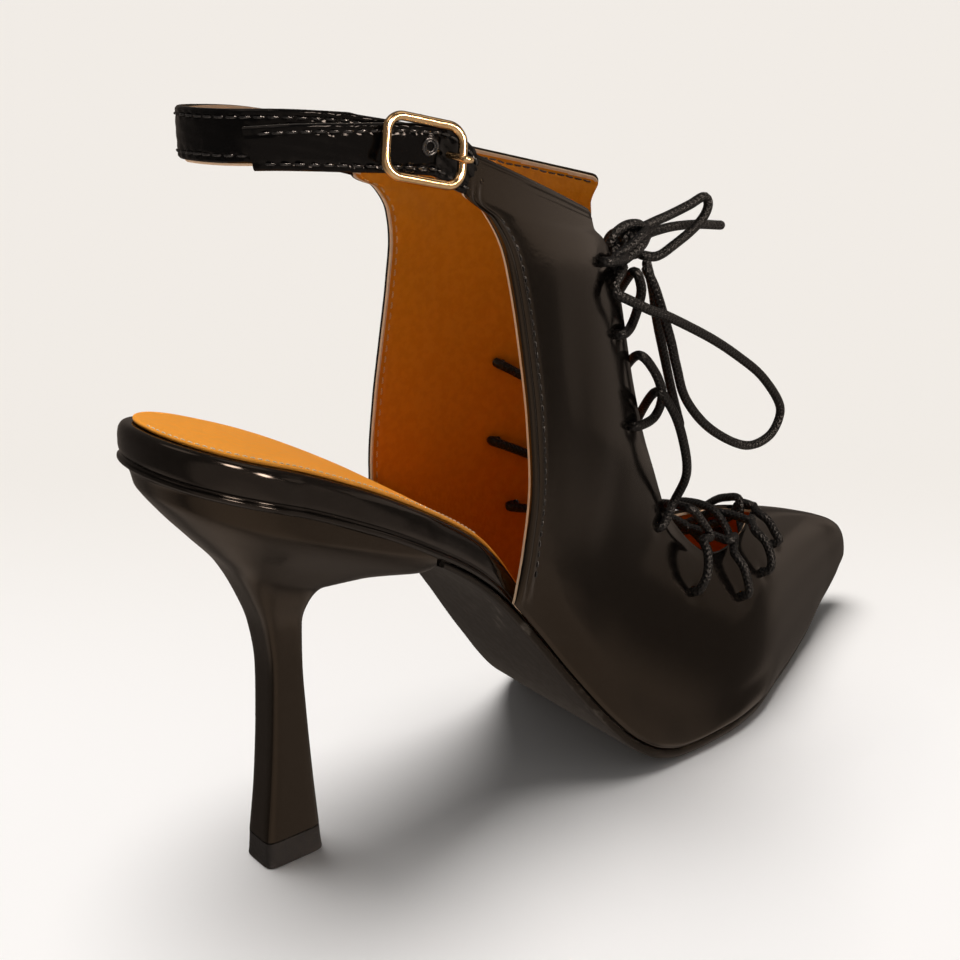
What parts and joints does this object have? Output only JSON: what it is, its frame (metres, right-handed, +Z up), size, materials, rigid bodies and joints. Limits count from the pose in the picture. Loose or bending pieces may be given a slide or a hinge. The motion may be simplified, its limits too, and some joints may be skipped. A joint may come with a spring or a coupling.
{
  "type": "lace-up slingback shoe",
  "caption": "Pointed high-heeled lace-up shoe with an open back, a buckled ankle strap and a cord bow, for the right foot.",
  "frame": {"origin": "middle of the shoe's footprint, on the floor it stands on", "axes": "+X from the heel to the toe, +Y to the inner side of the foot, +Z up"},
  "size_m": [0.2414, 0.0714, 0.1752],
  "materials": {
    "black_leather": "glossy",
    "ochre_lining": "satin",
    "sole_rubber": "satin",
    "tip_rubber": "satin",
    "heel_cover": "glossy",
    "gold_metal": "polished",
    "waxed_cord": "waxed"
  },
  "bodies": {
    "root": {"footbed": "black_leather", "sock": "ochre_lining", "outsole": "sole_rubber", "heel": "heel_cover", "top_piece": "tip_rubber", "upper": "black_leather", "sling_strap": "black_leather", "billet": "black_leather", "buckle_frame": "gold_metal", "buckle_prong": "gold_metal", "lace_crossings": "waxed_cord", "lace_knot": "waxed_cord", "lace_loop_large": "waxed_cord", "lace_loop_small": "waxed_cord", "lace_end_short": "waxed_cord", "lace_end_long": "waxed_cord"}
  },
  "joints": []
}
